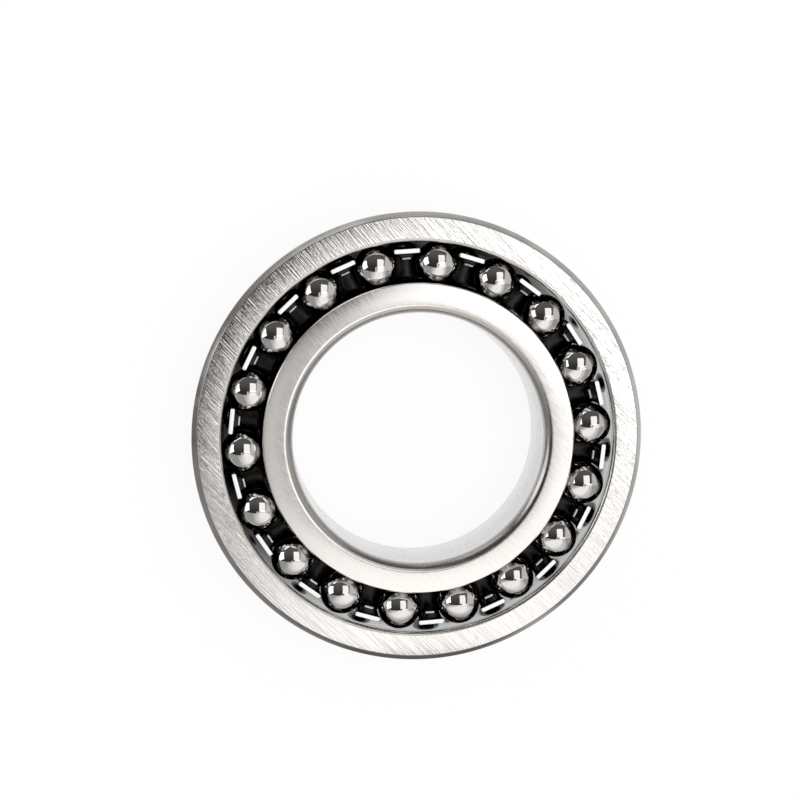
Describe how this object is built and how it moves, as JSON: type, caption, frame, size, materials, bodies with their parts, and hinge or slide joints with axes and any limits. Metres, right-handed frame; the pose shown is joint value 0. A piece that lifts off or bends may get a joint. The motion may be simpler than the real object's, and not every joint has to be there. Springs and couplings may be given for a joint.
{
  "type": "self-aligning double-row ball bearing",
  "caption": "Open self-aligning ball bearing: two staggered rows of balls in a pressed steel cage, between a grooved inner ring and a spherical outer raceway.",
  "frame": {"origin": "on the bearing's axis, in the plane of its lower side faces", "axes": "+Z along the bearing's axis, from the lower side face to the upper one; the first ball of the upper row is 4.4 degrees from +X"},
  "size_m": [0.125, 0.125, 0.024],
  "materials": {
    "ring_steel": "ground bearing steel: fine crossing grinding scratches on the side faces, polished corners and raceways",
    "ball_steel": "mirror-polished bearing steel",
    "cage_steel": "dark, smooth pressed sheet steel with bright cut edges"
  },
  "bodies": {
    "outer_ring": {"outer_ring": "ring_steel"},
    "cage": {"cage": "cage_steel"},
    "inner_ring": {"inner_ring": "ring_steel"},
    "ball_front_01": {"ball_front_01": "ball_steel"},
    "ball_front_02": {"ball_front_02": "ball_steel"},
    "ball_front_03": {"ball_front_03": "ball_steel"},
    "ball_front_04": {"ball_front_04": "ball_steel"},
    "ball_front_05": {"ball_front_05": "ball_steel"},
    "ball_front_06": {"ball_front_06": "ball_steel"},
    "ball_front_07": {"ball_front_07": "ball_steel"},
    "ball_front_08": {"ball_front_08": "ball_steel"},
    "ball_front_09": {"ball_front_09": "ball_steel"},
    "ball_front_10": {"ball_front_10": "ball_steel"},
    "ball_front_11": {"ball_front_11": "ball_steel"},
    "ball_front_12": {"ball_front_12": "ball_steel"},
    "ball_front_13": {"ball_front_13": "ball_steel"},
    "ball_front_14": {"ball_front_14": "ball_steel"},
    "ball_front_15": {"ball_front_15": "ball_steel"},
    "ball_front_16": {"ball_front_16": "ball_steel"},
    "ball_front_17": {"ball_front_17": "ball_steel"},
    "ball_front_18": {"ball_front_18": "ball_steel"},
    "ball_rear_01": {"ball_rear_01": "ball_steel"},
    "ball_rear_02": {"ball_rear_02": "ball_steel"},
    "ball_rear_03": {"ball_rear_03": "ball_steel"},
    "ball_rear_04": {"ball_rear_04": "ball_steel"},
    "ball_rear_05": {"ball_rear_05": "ball_steel"},
    "ball_rear_06": {"ball_rear_06": "ball_steel"},
    "ball_rear_07": {"ball_rear_07": "ball_steel"},
    "ball_rear_08": {"ball_rear_08": "ball_steel"},
    "ball_rear_09": {"ball_rear_09": "ball_steel"},
    "ball_rear_10": {"ball_rear_10": "ball_steel"},
    "ball_rear_11": {"ball_rear_11": "ball_steel"},
    "ball_rear_12": {"ball_rear_12": "ball_steel"},
    "ball_rear_13": {"ball_rear_13": "ball_steel"},
    "ball_rear_14": {"ball_rear_14": "ball_steel"},
    "ball_rear_15": {"ball_rear_15": "ball_steel"},
    "ball_rear_16": {"ball_rear_16": "ball_steel"},
    "ball_rear_17": {"ball_rear_17": "ball_steel"},
    "ball_rear_18": {"ball_rear_18": "ball_steel"}
  },
  "joints": [
    {"name": "self_align", "type": "hinge", "parent": "outer_ring", "child": "cage", "pos_m": [0, 0, 0.012], "axis": [1, 0, 0], "range_deg": [-2.5, 2.5]},
    {"name": "inner_spin", "type": "hinge", "parent": "cage", "child": "inner_ring", "pos_m": [0, 0, 0.012], "axis": [0, 0, 1], "continuous": true},
    {"name": "ball_front_01_spin", "type": "hinge", "parent": "cage", "child": "ball_front_01", "pos_m": [0.04871, 0.00375, 0.018], "axis": [-0.1216, -0.0094, 0.9925], "continuous": true},
    {"name": "ball_front_02_spin", "type": "hinge", "parent": "cage", "child": "ball_front_02", "pos_m": [0.04449, 0.02018, 0.018], "axis": [-0.1111, -0.0504, 0.9925], "continuous": true},
    {"name": "ball_front_03_spin", "type": "hinge", "parent": "cage", "child": "ball_front_03", "pos_m": [0.0349, 0.03418, 0.018], "axis": [-0.0871, -0.0853, 0.9925], "continuous": true},
    {"name": "ball_front_04_spin", "type": "hinge", "parent": "cage", "child": "ball_front_04", "pos_m": [0.02111, 0.04406, 0.018], "axis": [-0.0527, -0.11, 0.9925], "continuous": true},
    {"name": "ball_front_05_spin", "type": "hinge", "parent": "cage", "child": "ball_front_05", "pos_m": [0.00477, 0.04862, 0.018], "axis": [-0.0119, -0.1214, 0.9925], "continuous": true},
    {"name": "ball_front_06_spin", "type": "hinge", "parent": "cage", "child": "ball_front_06", "pos_m": [-0.01215, 0.04732, 0.018], "axis": [0.0303, -0.1181, 0.9925], "continuous": true},
    {"name": "ball_front_07_spin", "type": "hinge", "parent": "cage", "child": "ball_front_07", "pos_m": [-0.0276, 0.04031, 0.018], "axis": [0.0689, -0.1006, 0.9925], "continuous": true},
    {"name": "ball_front_08_spin", "type": "hinge", "parent": "cage", "child": "ball_front_08", "pos_m": [-0.03972, 0.02844, 0.018], "axis": [0.0992, -0.071, 0.9925], "continuous": true},
    {"name": "ball_front_09_spin", "type": "hinge", "parent": "cage", "child": "ball_front_09", "pos_m": [-0.04705, 0.01314, 0.018], "axis": [0.1175, -0.0328, 0.9925], "continuous": true},
    {"name": "ball_front_10_spin", "type": "hinge", "parent": "cage", "child": "ball_front_10", "pos_m": [-0.04871, -0.00375, 0.018], "axis": [0.1216, 0.0094, 0.9925], "continuous": true},
    {"name": "ball_front_11_spin", "type": "hinge", "parent": "cage", "child": "ball_front_11", "pos_m": [-0.04449, -0.02018, 0.018], "axis": [0.1111, 0.0504, 0.9925], "continuous": true},
    {"name": "ball_front_12_spin", "type": "hinge", "parent": "cage", "child": "ball_front_12", "pos_m": [-0.0349, -0.03418, 0.018], "axis": [0.0871, 0.0853, 0.9925], "continuous": true},
    {"name": "ball_front_13_spin", "type": "hinge", "parent": "cage", "child": "ball_front_13", "pos_m": [-0.02111, -0.04406, 0.018], "axis": [0.0527, 0.11, 0.9925], "continuous": true},
    {"name": "ball_front_14_spin", "type": "hinge", "parent": "cage", "child": "ball_front_14", "pos_m": [-0.00477, -0.04862, 0.018], "axis": [0.0119, 0.1214, 0.9925], "continuous": true},
    {"name": "ball_front_15_spin", "type": "hinge", "parent": "cage", "child": "ball_front_15", "pos_m": [0.01215, -0.04732, 0.018], "axis": [-0.0303, 0.1181, 0.9925], "continuous": true},
    {"name": "ball_front_16_spin", "type": "hinge", "parent": "cage", "child": "ball_front_16", "pos_m": [0.0276, -0.04031, 0.018], "axis": [-0.0689, 0.1006, 0.9925], "continuous": true},
    {"name": "ball_front_17_spin", "type": "hinge", "parent": "cage", "child": "ball_front_17", "pos_m": [0.03972, -0.02844, 0.018], "axis": [-0.0992, 0.071, 0.9925], "continuous": true},
    {"name": "ball_front_18_spin", "type": "hinge", "parent": "cage", "child": "ball_front_18", "pos_m": [0.04705, -0.01314, 0.018], "axis": [-0.1175, 0.0328, 0.9925], "continuous": true},
    {"name": "ball_rear_01_spin", "type": "hinge", "parent": "cage", "child": "ball_rear_01", "pos_m": [0.04732, 0.01215, 0.006], "axis": [0.1181, 0.0303, 0.9925], "continuous": true},
    {"name": "ball_rear_02_spin", "type": "hinge", "parent": "cage", "child": "ball_rear_02", "pos_m": [0.04031, 0.0276, 0.006], "axis": [0.1006, 0.0689, 0.9925], "continuous": true},
    {"name": "ball_rear_03_spin", "type": "hinge", "parent": "cage", "child": "ball_rear_03", "pos_m": [0.02844, 0.03972, 0.006], "axis": [0.071, 0.0992, 0.9925], "continuous": true},
    {"name": "ball_rear_04_spin", "type": "hinge", "parent": "cage", "child": "ball_rear_04", "pos_m": [0.01314, 0.04705, 0.006], "axis": [0.0328, 0.1175, 0.9925], "continuous": true},
    {"name": "ball_rear_05_spin", "type": "hinge", "parent": "cage", "child": "ball_rear_05", "pos_m": [-0.00375, 0.04871, 0.006], "axis": [-0.0094, 0.1216, 0.9925], "continuous": true},
    {"name": "ball_rear_06_spin", "type": "hinge", "parent": "cage", "child": "ball_rear_06", "pos_m": [-0.02018, 0.04449, 0.006], "axis": [-0.0504, 0.1111, 0.9925], "continuous": true},
    {"name": "ball_rear_07_spin", "type": "hinge", "parent": "cage", "child": "ball_rear_07", "pos_m": [-0.03418, 0.0349, 0.006], "axis": [-0.0853, 0.0871, 0.9925], "continuous": true},
    {"name": "ball_rear_08_spin", "type": "hinge", "parent": "cage", "child": "ball_rear_08", "pos_m": [-0.04406, 0.02111, 0.006], "axis": [-0.11, 0.0527, 0.9925], "continuous": true},
    {"name": "ball_rear_09_spin", "type": "hinge", "parent": "cage", "child": "ball_rear_09", "pos_m": [-0.04862, 0.00477, 0.006], "axis": [-0.1214, 0.0119, 0.9925], "continuous": true},
    {"name": "ball_rear_10_spin", "type": "hinge", "parent": "cage", "child": "ball_rear_10", "pos_m": [-0.04732, -0.01215, 0.006], "axis": [-0.1181, -0.0303, 0.9925], "continuous": true},
    {"name": "ball_rear_11_spin", "type": "hinge", "parent": "cage", "child": "ball_rear_11", "pos_m": [-0.04031, -0.0276, 0.006], "axis": [-0.1006, -0.0689, 0.9925], "continuous": true},
    {"name": "ball_rear_12_spin", "type": "hinge", "parent": "cage", "child": "ball_rear_12", "pos_m": [-0.02844, -0.03972, 0.006], "axis": [-0.071, -0.0992, 0.9925], "continuous": true},
    {"name": "ball_rear_13_spin", "type": "hinge", "parent": "cage", "child": "ball_rear_13", "pos_m": [-0.01314, -0.04705, 0.006], "axis": [-0.0328, -0.1175, 0.9925], "continuous": true},
    {"name": "ball_rear_14_spin", "type": "hinge", "parent": "cage", "child": "ball_rear_14", "pos_m": [0.00375, -0.04871, 0.006], "axis": [0.0094, -0.1216, 0.9925], "continuous": true},
    {"name": "ball_rear_15_spin", "type": "hinge", "parent": "cage", "child": "ball_rear_15", "pos_m": [0.02018, -0.04449, 0.006], "axis": [0.0504, -0.1111, 0.9925], "continuous": true},
    {"name": "ball_rear_16_spin", "type": "hinge", "parent": "cage", "child": "ball_rear_16", "pos_m": [0.03418, -0.0349, 0.006], "axis": [0.0853, -0.0871, 0.9925], "continuous": true},
    {"name": "ball_rear_17_spin", "type": "hinge", "parent": "cage", "child": "ball_rear_17", "pos_m": [0.04406, -0.02111, 0.006], "axis": [0.11, -0.0527, 0.9925], "continuous": true},
    {"name": "ball_rear_18_spin", "type": "hinge", "parent": "cage", "child": "ball_rear_18", "pos_m": [0.04862, -0.00477, 0.006], "axis": [0.1214, -0.0119, 0.9925], "continuous": true}
  ],
  "couplings": [
    {"joint": "ball_front_01_spin", "follows": "inner_spin", "ratio": -7.2138},
    {"joint": "ball_front_02_spin", "follows": "inner_spin", "ratio": -7.2138},
    {"joint": "ball_front_03_spin", "follows": "inner_spin", "ratio": -7.2138},
    {"joint": "ball_front_04_spin", "follows": "inner_spin", "ratio": -7.2138},
    {"joint": "ball_front_05_spin", "follows": "inner_spin", "ratio": -7.2138},
    {"joint": "ball_front_06_spin", "follows": "inner_spin", "ratio": -7.2138},
    {"joint": "ball_front_07_spin", "follows": "inner_spin", "ratio": -7.2138},
    {"joint": "ball_front_08_spin", "follows": "inner_spin", "ratio": -7.2138},
    {"joint": "ball_front_09_spin", "follows": "inner_spin", "ratio": -7.2138},
    {"joint": "ball_front_10_spin", "follows": "inner_spin", "ratio": -7.2138},
    {"joint": "ball_front_11_spin", "follows": "inner_spin", "ratio": -7.2138},
    {"joint": "ball_front_12_spin", "follows": "inner_spin", "ratio": -7.2138},
    {"joint": "ball_front_13_spin", "follows": "inner_spin", "ratio": -7.2138},
    {"joint": "ball_front_14_spin", "follows": "inner_spin", "ratio": -7.2138},
    {"joint": "ball_front_15_spin", "follows": "inner_spin", "ratio": -7.2138},
    {"joint": "ball_front_16_spin", "follows": "inner_spin", "ratio": -7.2138},
    {"joint": "ball_front_17_spin", "follows": "inner_spin", "ratio": -7.2138},
    {"joint": "ball_front_18_spin", "follows": "inner_spin", "ratio": -7.2138},
    {"joint": "ball_rear_01_spin", "follows": "inner_spin", "ratio": -7.2138},
    {"joint": "ball_rear_02_spin", "follows": "inner_spin", "ratio": -7.2138},
    {"joint": "ball_rear_03_spin", "follows": "inner_spin", "ratio": -7.2138},
    {"joint": "ball_rear_04_spin", "follows": "inner_spin", "ratio": -7.2138},
    {"joint": "ball_rear_05_spin", "follows": "inner_spin", "ratio": -7.2138},
    {"joint": "ball_rear_06_spin", "follows": "inner_spin", "ratio": -7.2138},
    {"joint": "ball_rear_07_spin", "follows": "inner_spin", "ratio": -7.2138},
    {"joint": "ball_rear_08_spin", "follows": "inner_spin", "ratio": -7.2138},
    {"joint": "ball_rear_09_spin", "follows": "inner_spin", "ratio": -7.2138},
    {"joint": "ball_rear_10_spin", "follows": "inner_spin", "ratio": -7.2138},
    {"joint": "ball_rear_11_spin", "follows": "inner_spin", "ratio": -7.2138},
    {"joint": "ball_rear_12_spin", "follows": "inner_spin", "ratio": -7.2138},
    {"joint": "ball_rear_13_spin", "follows": "inner_spin", "ratio": -7.2138},
    {"joint": "ball_rear_14_spin", "follows": "inner_spin", "ratio": -7.2138},
    {"joint": "ball_rear_15_spin", "follows": "inner_spin", "ratio": -7.2138},
    {"joint": "ball_rear_16_spin", "follows": "inner_spin", "ratio": -7.2138},
    {"joint": "ball_rear_17_spin", "follows": "inner_spin", "ratio": -7.2138},
    {"joint": "ball_rear_18_spin", "follows": "inner_spin", "ratio": -7.2138}
  ]
}
